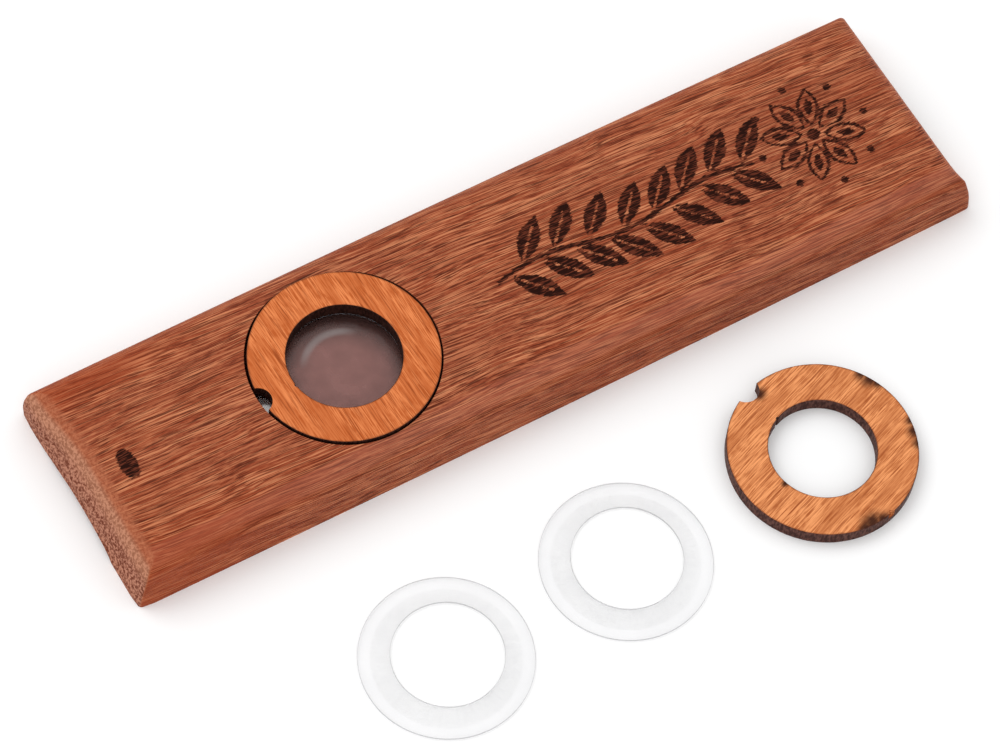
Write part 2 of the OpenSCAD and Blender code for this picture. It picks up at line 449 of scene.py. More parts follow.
def widen_scoop(co):
    """Works the scoop's mouth deeper and wider at the marked end, steep on its near side."""
    at_end = smooth_step(-co.x, half_length - SCOOP_MOUTH_START, half_length - SCOOP_MOUTH_FULL)
    arch = SCOOP_DEPTH * max(1 - (2 * co.y / SCOOP_WIDTH) ** 2, 0)
    mouth = SCOOP_MOUTH * smooth_step(co.y, *SCOOP_MOUTH_NEAR) * (1 - smooth_step(co.y, *SCOOP_MOUTH_FAR))
    above = max(co.z - arch, 0) / (SCOOP_MOUTH_HEIGHT - arch)
    co.z += (mouth - arch) * at_end * max(1 - above, 0)


def hand_shape(co):
    """Gives the bar its hand-worked shape: upright, worn corners, a leaning far side, narrower ends."""
    widen_scoop(co)
    risen = max(co.z - FOOT_HEIGHT, 0)
    far_corner = smooth_step(co.y, *UPRIGHT_ACROSS) * smooth_step(-co.x, *UPRIGHT_ALONG)
    near_corner = smooth_step(-co.y, *MOUTH_UPRIGHT_ACROSS) ** 2 * smooth_step(co.x, *MOUTH_UPRIGHT_ALONG)
    co.x -= UPRIGHT_REACH * far_corner * min(risen / UPRIGHT_HEIGHT, 1)
    co.x += MOUTH_UPRIGHT_REACH * near_corner * min(risen / MOUTH_UPRIGHT_HEIGHT, 1)
    near_end = smooth_step(abs(co.x), half_length - CORNER_REACH, half_length)
    near_side = smooth_step(abs(co.y), half_width - CORNER_REACH, half_width)
    wear = CORNER_WEAR[(1 if co.x > 0 else -1, 1 if co.y > 0 else -1)]
    wear *= near_end * near_side * (1 - smooth_step(co.z, 0, CORNER_WEAR_HEIGHT))
    co.x -= math.copysign(wear, co.x)
    co.y -= math.copysign(wear, co.y)
    co.y -= FAR_LEAN * smooth_step(co.y, *LEAN_ACROSS) * smooth_step(co.z, *LEAN_HEIGHT)
    bow = END_NARROWING * (2 * co.x / body_length) ** 2
    co.y += bow * smooth_step(-co.y, *BOW_ACROSS)
    co.y -= bow * smooth_step(co.y, *BOW_ACROSS) * smooth_step(co.z, *BOW_HEIGHT)
    co.x = min(max(co.x, body_low.x), body_high.x)


def grain_place(co):
    """The place across the grain in millimetres, carried on down the long sides and the ends."""
    drop = body_height - co.z
    side = smooth_step(abs(co.y), *GRAIN_SIDE)
    end = smooth_step(abs(co.x), *GRAIN_END) * (1 - side)
    return (co.y + math.copysign(drop * side, co.y) - GRAIN_DROP * drop * end) / MM


def end_share(vert):
    """How far the surface has turned into an end face, 0 on the top and the sides and 1 on the end."""
    end_round = EDGE_ROUND * math.tan((math.pi / 2 + END_SLOPE) / 2)
    round_start = half_length - (body_height - FOOT_HEIGHT) * math.tan(END_SLOPE) - EDGE_ROUND
    share = min(max((abs(vert.co.x) - round_start) / end_round, 0), 1)
    if abs(vert.co.y) > half_width - END_SIDE_ZONE:
        facing = abs(vert.normal.x) / (abs(vert.normal.x) + abs(vert.normal.y) + TINY)
        share *= smooth_step(facing, *END_FACING)
    return share if vert.co.x < 0 else max(share - MOUTH_END_START, 0) / (1 - MOUTH_END_START)


def burn_and_shape(bm):
    """Marks each vertex for the material, then burns the ornament in and shapes the bar."""
    burn = bm.verts.layers.float.new("burn")
    end_face = bm.verts.layers.float.new("end_face")
    across_grain = bm.verts.layers.float.new("across_grain")
    for vert in bm.verts:
        vert[across_grain] = grain_place(vert.co)
        vert[burn] = UNBURNT
        vert[end_face] = end_share(vert)
        if vert.co.z > body_height - HAIR:
            vert[burn] = burn_depth(vert.co.x / MM, vert.co.y / MM)
    for vert in bm.verts:
        charred = smooth_step(vert[burn], *CHAR_EDGE)
        rough = CHAR_MEAN + CHAR_SWING * noise.noise(vert.co / CHAR_GRAIN)
        vert.co.z -= lower_top(vert.co) + ORNAMENT_DEPTH * charred * rough
        hand_shape(vert.co)
    bm.normal_update()


def mark_faces(bm, rim_radius):
    """Marks the faces inside the seat and the air way, and those of the underside."""
    inside = bm.faces.layers.float.new("inside")
    underside = bm.faces.layers.float.new("underside")
    air_reach = half_length - INSIDE_INSET
    air_top = AIR_FLOOR + AIR_HEIGHT + INSIDE_MARGIN
    for face in bm.faces:
        middle = face.calc_center_median()
        from_seat = math.hypot(middle.x - seat_centre[0], middle.y - seat_centre[1])
        in_seat = from_seat < rim_radius and middle.z > CHAMBER_FLOOR * FLOOR_SHARE
        in_plan = abs(middle.y) < AIR_WIDTH / 2 - HAIR and abs(middle.x) < air_reach
        in_air = in_plan and AIR_FLOOR * FLOOR_SHARE < middle.z < air_top
        face[inside] = 1.0 if in_seat or in_air else 0.0
        low_down = face.normal.z < DOWNWARD and middle.z < AIR_FLOOR * FLOOR_SHARE
        face[underside] = 1.0 if low_down else 0.0


def bar():
    """The finished bar with its membrane seat, air way, outlet, scoop and burnt ornament."""
    piece = new_piece("wooden_bar", bar_blank())
    ledge = film_low.z - STACK_GAP
    seat_radius = RING_RADIUS + SEAT_GAP
    rim_radius = seat_radius + RIM_BREAK
    recess = [
        (0, ledge), (seat_radius, ledge), (seat_radius, body_height - RIM_BREAK),
        (rim_radius, body_height + TINY), (rim_radius, 2 * body_height), (0, 2 * body_height),
    ]
    outlet_x = AIR_STOP + OUTLET_SET + OUTLET_RADIUS - half_length
    outlet_top = AIR_FLOOR + AIR_HEIGHT / 2
    cut(piece, lathe(recess, (seat_centre[0] - SEAT_SHIFT, seat_centre[1])))
    cut(piece, cylinder(HOLE_RADIUS, CHAMBER_FLOOR, 1.5 * body_height, seat_centre))
    cut(piece, air_way_cutter())
    cut(piece, cylinder(OUTLET_RADIUS, -OVERRUN, outlet_top, (outlet_x, 0), OUTLET_SEGMENTS))
    cut(piece, scoop_cutter())
    bm = bmesh.new()
    bm.from_mesh(piece.data)
    bm.normal_update()
    refine_patch(bm, ORNAMENT_LOW, ORNAMENT_HIGH, ORNAMENT_CELLS)
    refine_patch(bm, DOT_LOW, DOT_HIGH, DOT_CELLS)
    bm.normal_update()

    def plain_upper(face):
        if in_patch(face, ORNAMENT_LOW, ORNAMENT_HIGH) or in_patch(face, DOT_LOW, DOT_HIGH):
            return False
        return face.calc_center_median().z > UPPER_HEIGHT and face.normal.z > UPWARD
    slice_mesh(bm, 1, TOP_SLICES_ACROSS, plain_upper)
    slice_mesh(bm, 0, TOP_SLICES_ALONG, plain_upper)
    bmesh.ops.triangulate(
        bm, faces=[f for f in bm.faces if len(f.verts) > 4], quad_method="BEAUTY", ngon_method="BEAUTY",
    )
    bm.normal_update()
    burn_and_shape(bm)
    mark_faces(bm, rim_radius)
    bm.to_mesh(piece.data)
    bm.free()
    shade(piece.data)
    return piece


# The rings and membranes

def ring_profile(inner, outer, low, high, round_size):
    """The section of a flat ring with tiny broken edges."""
    return [
        (inner, low + round_size), (inner + round_size, low), (outer - round_size, low),
        (outer, low + round_size), (outer, high - round_size), (outer - round_size, high),
        (inner + round_size, high), (inner, high - round_size),
    ]


def mark_walls(piece):
    """Marks the faces that stand upright, where a cut went through."""
    walls = piece.data.attributes.new("wall", "FLOAT", "FACE")
    for polygon in piece.data.polygons:
        walls.data[polygon.index].value = 1.0 if abs(polygon.normal.z) < WALL else 0.0


def wooden_ring(name, low, high, centre, hole, turn, chip_turn=None):
    """A laser-cut retaining ring with its pick notch and the nick where the cut began."""
    piece = new_piece(name, lathe(ring_profile(hole, RING_RADIUS, low, high, RING_ROUND), centre))
    for radius, reach, angle in (
        (NOTCH_RADIUS, RING_RADIUS + NOTCH_OUT, turn), (NICK_RADIUS, hole, turn + NICK_TURN),
    ):
        place = polar(centre, reach, angle)
        cut(piece, cylinder(radius, low - OVERRUN, high + OVERRUN, place, NOTCH_SEGMENTS))
    mark_walls(piece)
    if chip_turn is not None:
        chip = box((-CHIP_HALF, -CHIP_HALF, -CHIP_DEPTH), (CHIP_HALF, CHIP_HALF, OVERRUN))
        corner_out = Matrix.Rotation(chip_turn + math.pi / 4, 3, "Z")
        bmesh.ops.rotate(chip, verts=chip.verts, cent=(0, 0, 0), matrix=corner_out)
        place = polar(centre, RING_RADIUS + CHIP_OUT, chip_turn)
        bmesh.ops.translate(chip, verts=chip.verts, vec=(place.x, place.y, high))
        cut(piece, chip)
    shade(piece.data)
    return piece


def clear_carrier(name, node, hole, shift, slip):
    """A clear plastic washer that carries the film, its hole and its rim a little off centre."""
    low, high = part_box(node)
    middle = (low + high) / 2
    outer = (high.x - low.x) / 2
    bm = lathe(ring_profile(hole, outer, low.z, high.z, CARRIER_ROUND), (middle.x, middle.y))
    for vert in bm.verts:
        at_hole = math.hypot(vert.co.x - middle.x, vert.co.y - middle.y) < (hole + outer) / 2
        move = shift if at_hole else slip
        vert.co.x += move[0]
        vert.co.y += move[1]
    piece = new_piece(name, bm)
    mark_walls(piece)
    return piece


def thin_film(name, node, ripple):
    """The film under a carrier: a taut disc whose open middle ripples a little."""
    low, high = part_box(node)
    middle = (low + high) / 2
    radius = (high.x - low.x) / 2
    steps = [radius * (i + 1) / FILM_RINGS for i in range(FILM_RINGS)]
    under, over = [(r, low.z) for r in steps], [(r, high.z) for r in reversed(steps)]
    profile = [(0, low.z)] + under + over + [(0, high.z)]
    bm = lathe(profile, (middle.x, middle.y), FILM_SEGMENTS, closed=False)
    for vert in bm.verts:
        from_middle = math.hypot(vert.co.x - middle.x, vert.co.y - middle.y)
        slack = 1 - smooth_step(from_middle / HOLE_RADIUS, *SLACK_SHARES)
        vert.co.z += ripple * slack * noise.noise(Vector((vert.co.x, vert.co.y, 0)) / RIPPLE_LENGTH)
    return new_piece(name, bm)


# Shared helpers for materials

def linear(red, green, blue):
    """A colour given in 0 to 255 as the shader's own light values."""
    def channel(value):
        value /= 255
        return value / 12.92 if value <= 0.04045 else ((value + 0.055) / 1.055) ** 2.4
    return (channel(red), channel(green), channel(blue), 1)


# Colours of the woods, the burnt marks, the plastic and the film
WOOD, WOOD_FIBRE, WOOD_TONE = linear(158, 82, 53), linear(122, 52, 32), linear(148, 66, 36)
WOOD_STREAK, WOOD_PORE, WOOD_INSIDE = linear(206, 132, 92), linear(76, 27, 14), linear(74, 34, 22)
# The first colour below is a painted sheen, a lighter pink for the near shoulder where light falls on it
WOOD_PAINTED_SHEEN, WOOD_RUDDY = linear(170, 102, 82), linear(156, 60, 24)
END_DARK, END_LIGHT, END_UPPER = linear(112, 58, 42), linear(184, 126, 102), linear(192, 134, 102)
BAND_DARK, BAND_LIGHT = linear(146, 76, 50), linear(182, 110, 78)
CHAR, CHAR_LIGHT = linear(36, 12, 6), linear(98, 46, 30)
RING_LINE, RING_TOAST, RING_SCORCH = linear(140, 62, 24), linear(120, 62, 34), linear(50, 24, 18)
FITTED_LIGHT, FITTED_DEEP = linear(226, 134, 80), linear(180, 88, 40)
# The fitted ring's charred walls, darker than the loose ring's as painted shade of the well
FITTED_WALLS_CHAR_AND_SHADE = (linear(34, 16, 12), linear(60, 34, 28))
LOOSE_LIGHT, LOOSE_DEEP = linear(238, 158, 102), linear(182, 104, 58)
LOOSE_WALLS = (linear(56, 30, 26), linear(100, 66, 58))
PLASTIC, PLASTIC_EDGE, PLASTIC_PAINTED_GLINT = linear(222, 222, 225), linear(120, 120, 126), linear(252, 252, 252)
# The fitted film's dark mauve is the film seen over the dark chamber: partly the chamber's dark wood, partly
# painted shade
FITTED_FILM_AND_PAINTED_SHADE, SPARE_FILM = linear(129, 86, 80), linear(244, 244, 246)
# Painted shade and painted highlight of the fitted film
FILM_SHADE, FILM_PAINTED_HIGHLIGHT = linear(40, 26, 24), linear(156, 148, 146)

# Layers of streaks: length and width in millimetres, the noise where a streak starts and where it is
# full, the noise's detail, and a shift that keeps the layers apart
WOOD_FINE, WOOD_DARK = (0.9, 0.13, 0.34, 0.66, 3.0, 0.0), (5.5, 0.15, 0.49, 0.63, 3.0, 31.0)
WOOD_LIGHT, WOOD_ZONES = (8.0, 0.16, 0.46, 0.60, 3.0, 77.0), (40.0, 1.6, 0.36, 0.62, 3.0, 12.0)
WOOD_TONES = (30.0, 5.0, 0.35, 0.65, 1.0, 5.0)
BURN_RASTER, BURN_RAGGED = (1.6, 0.16, 0.48, 0.64, 1.0, 51.0), (1.0, 0.24, 0.25, 0.75, 2.0, 9.0)
RING_FINE, RING_LINES = (3.0, 0.14, 0.40, 0.60, 3.0, 0.0), (6.0, 0.20, 0.54, 0.68, 3.0, 23.0)
RING_BANDS, RING_MOTTLE = (12.0, 1.5, 0.42, 0.64, 2.0, 61.0), (1.2, 0.9, 0.4, 0.7, 3.0, 11.0)
PLASTIC_SCUFFS = (1.5, 0.3, 0.5, 0.8, 3.0, 3.0)

# Waves of the grain: length and sway in millimetres
LONG_WAVES, SHORT_WAVES, RING_WAVES = (26.0, 2.4), (9.0, 0.5), (18.0, 0.8)
GRAIN_TURN = math.radians(3)
FLOW_SQUEEZE, FLOW_DETAIL, FLOW_DEPTH = (1, 2.2, 2.2), 1.5, 0.6
SPOT_STRETCH, SPOT_WANDER, SPOT_EDGE = (1, 0.8, 0), 0.5, (1.2, 0.15)
WOOD_SHEEN, FLOOR_SHEEN, PLASTIC_IOR = 0.05, 0.1, 1.5

# Where each mark of the bar's wood starts and is full, in millimetres or as a share of a mask
PAINTED_SHEEN_IN, PAINTED_SHEEN_OUT = (-11.6, -12.8), (-16.5, -14.6)
RUDDY_ALONG, RUDDY_NEAR = (-30.0, -56.0), (-8.0, -15.0)
RUDDY_FAR_IN, RUDDY_FAR_OUT = (9.0, 14.0), (20.0, 15.0)
ROUGH_END, SOFT_END, END_SPECKS, END_UPPER_RISE = (0.58, 0.82), (0.16, 0.52), (0.41, 0.60), (3.8, 6.4)
BURN_EDGE, BURN_WANDER = (-0.09, 0.09), 0.34
MIDDLE_TONES = (0.3, 0.7)

# Toasted edges of a ring, and the painted shade and the painted arc of highlight on the fitted film, in
# millimetres
TOAST_OUTER, TOAST_FULL, TOAST_INNER, TOAST_WOBBLE = 0.32, 0.02, 0.28, 0.5
PLY_STRETCH, PLY_TONES = (2.2, 2.2, 0.7), (0.35, 0.68)
SHADE_SHIFT, SHADE_REACH = (1.6, 2.4, 0), (5.2, 10.2)
ARC_RADIUS, ARC_SOFTNESS, ARC_SLANT, ARC_NORTH = 5.0, (0.8, 0.1), 0.15, (2.4, 4.6)
FILM_PALER = 1.15

# Scorched spots of the loose ring: direction in degrees, distance from its middle and radius
SCORCHES = (
    (34, 12.4, 1.1), (28, 12.3, 1.4), (22.5, 12.5, 1.0), (-9, 12.5, 0.9), (-16, 12.5, 1.3), (-24, 12.7, 1.2),
    (-96, 12.4, 1.2), (-90.5, 12.0, 1.7), (-84, 12.4, 1.3), (105.6, 11.0, 1.1), (-164, 7.2, 0.6),
)

# The painted glint on the fitted carrier's rim: its middle, and how far from it the painted highlight ends
# and is full
PAINTED_GLINT_PLACE, PAINTED_GLINT_FADE = (-36.6, -1.15, 5.9), (1.1, 0.6)


def put(tree, kind, inputs=None, **settings):
    """Adds a node, sets its properties, and fills or links its inputs."""
    made = tree.nodes.new(kind)
    for name, value in settings.items():
        setattr(made, name, value)
    for key, value in (inputs or {}).items():
        socket = made.inputs[key]
        if isinstance(value, bpy.types.NodeSocket):
            tree.links.new(value, socket)
        else:
            socket.default_value = value
    return made


def maths(tree, operation, first, second=0.0):
    """The output of one Math node."""
    return put(tree, "ShaderNodeMath", {0: first, 1: second}, operation=operation).outputs[0]


def plus(tree, first, second):
    """A sum."""
    return maths(tree, "ADD", first, second)


def minus(tree, first, second):
    """A difference."""
    return maths(tree, "SUBTRACT", first, second)


def times(tree, first, second):
    """A product."""
    return maths(tree, "MULTIPLY", first, second)


def vector_maths(tree, operation, first, second=(0, 0, 0), output="Vector"):
    """The output of one Vector Math node."""
    return put(tree, "ShaderNodeVectorMath", {0: first, 1: second}, operation=operation).outputs[output]


def from_axis(tree, place):
    """How far a place lies from the upright axis through its origin."""
    return vector_maths(tree, "LENGTH", vector_maths(tree, "MULTIPLY", place, (1, 1, 0)), output="Value")


def noise_at(tree, place, scale, detail, roughness=0.5, distortion=0.0):
    """Soft noise at a place."""
    values = {"Vector": place, "Scale": scale, "Detail": detail, "Roughness": roughness}
    return put(tree, "ShaderNodeTexNoise", {**values, "Distortion": distortion}).outputs["Fac"]


def rise(tree, value, start, end, low=0.0, high=1.0):
    """A value carried smoothly from one range to another."""
    made = put(
        tree, "ShaderNodeMapRange",
        {"Value": value, "From Min": start, "From Max": end, "To Min": low, "To Max": high},
        interpolation_type="SMOOTHSTEP",
    )
    return made.outputs["Result"]


def lay(tree, under, over, mask, strength=1.0):
    """One colour laid over another where a mask says, up to a strength."""
    share = mask if strength == 1.0 else times(tree, mask, strength)
    return put(tree, "ShaderNodeMix", {0: share, 6: under, 7: over}, data_type="RGBA").outputs[2]


def bumps(tree, shader, height, strength, distance):
    """Raises a surface in the light by a height."""
    bump = put(tree, "ShaderNodeBump", {"Height": height, "Strength": strength, "Distance": distance})
    tree.links.new(bump.outputs[0], shader.inputs["Normal"])


def new_group(name, inputs, output):
    """A new shader node group: its tree, its inputs and its one output."""
    tree = bpy.data.node_groups.new(name, "ShaderNodeTree")
    for socket, (kind, value) in inputs.items():
        made = tree.interface.new_socket(socket, in_out="INPUT", socket_type=kind)
        if value is not None:
            made.default_value = value
    tree.interface.new_socket(output[0], in_out="OUTPUT", socket_type=output[1])
    return tree, tree.nodes.new("NodeGroupInput").outputs, tree.nodes.new("NodeGroupOutput").inputs[output[0]]


FLOAT, VECTOR = "NodeSocketFloat", "NodeSocketVector"


def grain_flow_group():
    """Bends straight grain sideways in slow waves, for places in millimetres along X."""
    tree, given, result = new_group(
        "grain_flow", {"Place": (VECTOR, None), "Wave": (FLOAT, 20), "Sway": (FLOAT, 1)}, ("Place", VECTOR),
    )
    squeezed = vector_maths(tree, "MULTIPLY", given["Place"], FLOW_SQUEEZE)
    wave = noise_at(tree, squeezed, maths(tree, "DIVIDE", 1.0, given["Wave"]), FLOW_DETAIL)
    aside = times(tree, minus(tree, wave, 0.5), given["Sway"])
    shift = put(tree, "ShaderNodeCombineXYZ", {"Y": aside, "Z": times(tree, aside, FLOW_DEPTH)}).outputs[0]
    tree.links.new(vector_maths(tree, "ADD", given["Place"], shift), result)
    return tree


def streaks_group():
    """A mask of thin streaks that run along X, of a length and width in millimetres."""
    tree, given, result = new_group(
        "fibre_streaks",
        {"Place": (VECTOR, None), "Length": (FLOAT, 3), "Width": (FLOAT, 0.3), "Start": (FLOAT, 0.5),
         "End": (FLOAT, 0.6), "Detail": (FLOAT, 2), "Shift": (FLOAT, 0)},
        ("Mask", FLOAT),
    )
    along = maths(tree, "DIVIDE", 1.0, given["Length"])
    across = maths(tree, "DIVIDE", 1.0, given["Width"])
    size = put(tree, "ShaderNodeCombineXYZ", {"X": along, "Y": across, "Z": across}).outputs[0]
    moved = vector_maths(tree, "ADD", given["Place"], given["Shift"])
    fibres = noise_at(tree, vector_maths(tree, "MULTIPLY", moved, size), scale=1.0, detail=given["Detail"])
    tree.links.new(rise(tree, fibres, given["Start"], given["End"]), result)
    return tree


def spot_group():
    """A soft scorched spot round a centre, drawn out along the grain, with a ragged edge."""
    tree, given, result = new_group(
        "scorched_spot", {"Place": (VECTOR, None), "Centre": (VECTOR, None), "Radius": (FLOAT, 1)},
        ("Mask", FLOAT),
    )
    ragged = noise_at(tree, given["Place"], scale=1.6, detail=3.0)
    away = vector_maths(tree, "SUBTRACT", given["Place"], given["Centre"])
    flat = vector_maths(tree, "MULTIPLY", away, SPOT_STRETCH)
    length = vector_maths(tree, "LENGTH", flat, output="Value")
    wander = times(tree, minus(tree, ragged, 0.5), SPOT_WANDER)
    reach = plus(tree, maths(tree, "DIVIDE", length, given["Radius"]), wander)
    tree.links.new(rise(tree, reach, *SPOT_EDGE), result)
    return tree


grain_flow = grain_flow_group()
fibre_streaks = streaks_group()
scorched_spot = spot_group()


def flow(tree, place, waves):
    """The bent grain's place."""
    values = {"Place": place, "Wave": waves[0], "Sway": waves[1]}
    return put(tree, "ShaderNodeGroup", node_tree=grain_flow, inputs=values).outputs["Place"]


def streaks(tree, place, layer):
    """One layer of streaks."""
    values = dict(zip(("Length", "Width", "Start", "End", "Detail", "Shift"), layer))
    return put(tree, "ShaderNodeGroup", {"Place": place, **values}, node_tree=fibre_streaks).outputs["Mask"]


def new_material(name, colour, roughness):
    """A material with its tree and its shader."""
    material = bpy.data.materials.new(name)
    material.use_nodes = True
    material.diffuse_color = colour
    tree = material.node_tree
    shader = tree.nodes["Principled BSDF"]
    shader.inputs["Base Color"].default_value = colour
    shader.inputs["Roughness"].default_value = roughness
    return material, tree, shader


def place_in_mm(tree, centre=(0, 0), turn=0.0):
    """The object's own coordinates in millimetres, from an upright axis and turned about it."""
    coordinates = tree.nodes.new("ShaderNodeTexCoord").outputs["Object"]
    start = (-centre[0] / MM, -centre[1] / MM, 0)
    scale = (1 / MM, 1 / MM, 1 / MM)
    moved = put(tree, "ShaderNodeMapping", {"Vector": coordinates, "Location": start, "Scale": scale})
    turned = put(tree, "ShaderNodeMapping", {"Vector": moved.outputs[0], "Rotation": (0, 0, -turn)})
    return turned.outputs[0]


def attribute(tree, name):
    """A value painted on the mesh."""
    return put(tree, "ShaderNodeAttribute", attribute_name=name).outputs["Fac"]


def hardwood_material():
    """Red-brown open-grained hardwood, oiled, with rough end grain and burnt marks."""
    material, tree, shader = new_material("hardwood", linear(140, 70, 46), 0.5)
    shader.inputs["Specular IOR Level"].default_value = WOOD_SHEEN
    solid_place = place_in_mm(tree)
    parts = put(tree, "ShaderNodeSeparateXYZ", {0: solid_place}).outputs
    along, depth = parts["X"], times(tree, parts["Z"], GRAIN_DEPTH)
    underside = attribute(tree, "underside")
    across = put(
        tree, "ShaderNodeMix", {"Factor": underside, "A": attribute(tree, "across_grain"), "B": parts["Y"]},
        data_type="FLOAT",
    ).outputs["Result"]
    unrolled = put(tree, "ShaderNodeCombineXYZ", {"X": along, "Y": across, "Z": depth}).outputs[0]
    straight = put(tree, "ShaderNodeMapping", {"Vector": unrolled, "Rotation": (0, 0, GRAIN_TURN)}).outputs[0]
    place = flow(tree, flow(tree, straight, LONG_WAVES), SHORT_WAVES)
    layers = (WOOD_FINE, WOOD_DARK, WOOD_LIGHT, WOOD_ZONES, WOOD_TONES, BURN_RASTER, BURN_RAGGED)
    fine, dark, light, zones, tones, raster, ragged = (streaks(tree, place, layer) for layer in layers)
    colour = lay(tree, WOOD, WOOD_FIBRE, fine)
    colour = lay(tree, colour, WOOD_TONE, tones, strength=0.45)
    lit = times(tree, light, plus(tree, times(tree, zones, 0.45), 0.4))
    colour = lay(tree, colour, WOOD_STREAK, lit)
    colour = lay(tree, colour, WOOD_PORE, dark, strength=0.85)
    shoulder = plus(tree, across, times(tree, zones, 0.8))
    # Painted sheen: a lighter pink band along the near shoulder, where light falls on the rounding
    painted_sheen = times(tree, rise(tree, shoulder, *PAINTED_SHEEN_IN), rise(tree, shoulder, *PAINTED_SHEEN_OUT))
    colour = lay(tree, colour, WOOD_PAINTED_SHEEN, painted_sheen, strength=0.3)
    ruddy_end = rise(tree, along, *RUDDY_ALONG)
    ruddy_far = times(tree, rise(tree, shoulder, *RUDDY_FAR_IN), rise(tree, shoulder, *RUDDY_FAR_OUT))
    ruddy_side = plus(tree, rise(tree, shoulder, *RUDDY_NEAR), ruddy_far)
    colour = lay(tree, colour, WOOD_RUDDY, times(tree, ruddy_end, ruddy_side), strength=0.4)
    end_face = times(tree, attribute(tree, "end_face"), minus(tree, 1.0, underside))
    rough_end = rise(tree, end_face, *ROUGH_END)
    soft_end = rise(tree, end_face, *SOFT_END)
    speckle = noise_at(tree, solid_place, scale=2.5, detail=3.0, roughness=0.6, distortion=0.4)
    speckled = lay(tree, END_DARK, END_LIGHT, rise(tree, speckle, *END_SPECKS))
    speckled = lay(tree, speckled, END_UPPER, rise(tree, parts["Z"], *END_UPPER_RISE), strength=0.4)
    smooth_band = lay(tree, BAND_DARK, BAND_LIGHT, rise(tree, speckle, *MIDDLE_TONES))
    colour = lay(tree, colour, smooth_band, soft_end, strength=0.8)
    colour = lay(tree, colour, speckled, rough_end)
    colour = lay(tree, colour, WOOD_INSIDE, attribute(tree, "inside"), strength=0.85)
    wander = times(tree, minus(tree, ragged, 0.5), BURN_WANDER)
    burnt = rise(tree, plus(tree, attribute(tree, "burn"), wander), *BURN_EDGE)
    colour = lay(tree, colour, lay(tree, CHAR, CHAR_LIGHT, raster), burnt)
    tree.links.new(colour, shader.inputs["Base Color"])
    roughness = rise(tree, fine, 0.0, 1.0, low=0.42, high=0.56)
    roughness = plus(tree, roughness, times(tree, rough_end, 0.25))
    roughness = plus(tree, roughness, times(tree, burnt, 0.2))
    tree.links.new(roughness, shader.inputs["Roughness"])
    height = plus(tree, times(tree, dark, -1.0), times(tree, fine, -0.4))
    rough_height = times(tree, times(tree, speckle, 5.0), rough_end)
    bumps(tree, shader, plus(tree, height, rough_height), strength=0.5, distance=0.03 * MM)
    return material


def ring_wood_material(name, light, deep, walls, centre, hole, turn, spots=()):
    """Pale orange plywood of a laser-cut ring: fine grain square to its notch, burnt walls and edges; the
    fitted ring's walls are also darkened as painted shade.
    """
    material, tree, shader = new_material(name, linear(196, 112, 58), 0.5)
    shader.inputs["Specular IOR Level"].default_value = WOOD_SHEEN
    local = place_in_mm(tree, centre, turn)
    across = put(tree, "ShaderNodeMapping", {"Vector": local, "Rotation": (0, 0, math.pi / 2)}).outputs[0]
    place = flow(tree, across, RING_WAVES)
    layers = (RING_FINE, RING_LINES, RING_BANDS, RING_MOTTLE)
    fine, lines, bands, mottle = (streaks(tree, place, layer) for layer in layers)
    colour = lay(tree, light, deep, fine)
    colour = lay(tree, colour, light, mottle, strength=0.45)
    colour = lay(tree, colour, deep, bands, strength=0.6)
    colour = lay(tree, colour, RING_LINE, lines, strength=0.7)
    wobble = times(tree, minus(tree, noise_at(tree, local, scale=1.1, detail=3.0), 0.5), TOAST_WOBBLE)
    reach = plus(tree, from_axis(tree, local), wobble)
    outer = rise(tree, reach, RING_RADIUS / MM - TOAST_OUTER, RING_RADIUS / MM - TOAST_FULL)
    inner = rise(tree, reach, hole / MM + TOAST_INNER, hole / MM)
    colour = lay(tree, colour, RING_TOAST, maths(tree, "MAXIMUM", outer, inner), strength=0.7)
    scorch = None
    for spot_turn, spot_reach, radius in spots:
        centre_of_spot = (*polar((0, 0), spot_reach, math.radians(spot_turn) - turn), 0)
        values = {"Place": local, "Centre": centre_of_spot, "Radius": radius}
        spot = put(tree, "ShaderNodeGroup", node_tree=scorched_spot, inputs=values).outputs["Mask"]
        scorch = spot if scorch is None else maths(tree, "MAXIMUM", scorch, spot)
    if scorch is not None:
        colour = lay(tree, colour, RING_SCORCH, scorch, strength=0.95)
    ply = noise_at(tree, vector_maths(tree, "MULTIPLY", local, PLY_STRETCH), scale=1.6, detail=3.0)
    # Charred wall colours; for the fitted ring they are also darkened as painted shade
    charred = lay(tree, *walls, rise(tree, ply, *PLY_TONES))
    colour = lay(tree, colour, charred, attribute(tree, "wall"))
    tree.links.new(colour, shader.inputs["Base Color"])
    tree.links.new(rise(tree, fine, 0.0, 1.0, low=0.45, high=0.58), shader.inputs["Roughness"])
    height = plus(tree, times(tree, fine, -0.5), times(tree, lines, -1.0))
    bumps(tree, shader, height, strength=0.4, distance=0.02 * MM)
    return material


def clear_plastic_material():
    """Clear plastic sheet, a little milky, with greyer cut edges and a painted glint, white and nearly
    opaque, on the rim in the pick notch.
    """
    material, tree, shader = new_material("clear_plastic", linear(226, 226, 228), 0.12)
    shader.inputs["IOR"].default_value = PLASTIC_IOR
    wall = attribute(tree, "wall")
    place = place_in_mm(tree)
    # Painted glint: white, nearly opaque colour where light would catch the fitted carrier's rim in the notch
    from_painted_glint = vector_maths(tree, "DISTANCE", place, PAINTED_GLINT_PLACE, "Value")
    painted_glint = rise(tree, from_painted_glint, *PAINTED_GLINT_FADE)
    colour = lay(tree, lay(tree, PLASTIC, PLASTIC_EDGE, wall), PLASTIC_PAINTED_GLINT, painted_glint)
    tree.links.new(colour, shader.inputs["Base Color"])
    haze = noise_at(tree, place, scale=0.12, detail=2.0)
    milky = plus(tree, rise(tree, haze, *MIDDLE_TONES, low=0.09, high=0.12), times(tree, wall, 0.35))
    tree.links.new(maths(tree, "MAXIMUM", milky, times(tree, painted_glint, 0.95)), shader.inputs["Alpha"])
    scuffs = streaks(tree, place, PLASTIC_SCUFFS)
    tree.links.new(rise(tree, scuffs, 0.0, 1.0, low=0.1, high=0.22), shader.inputs["Roughness"])
    return material


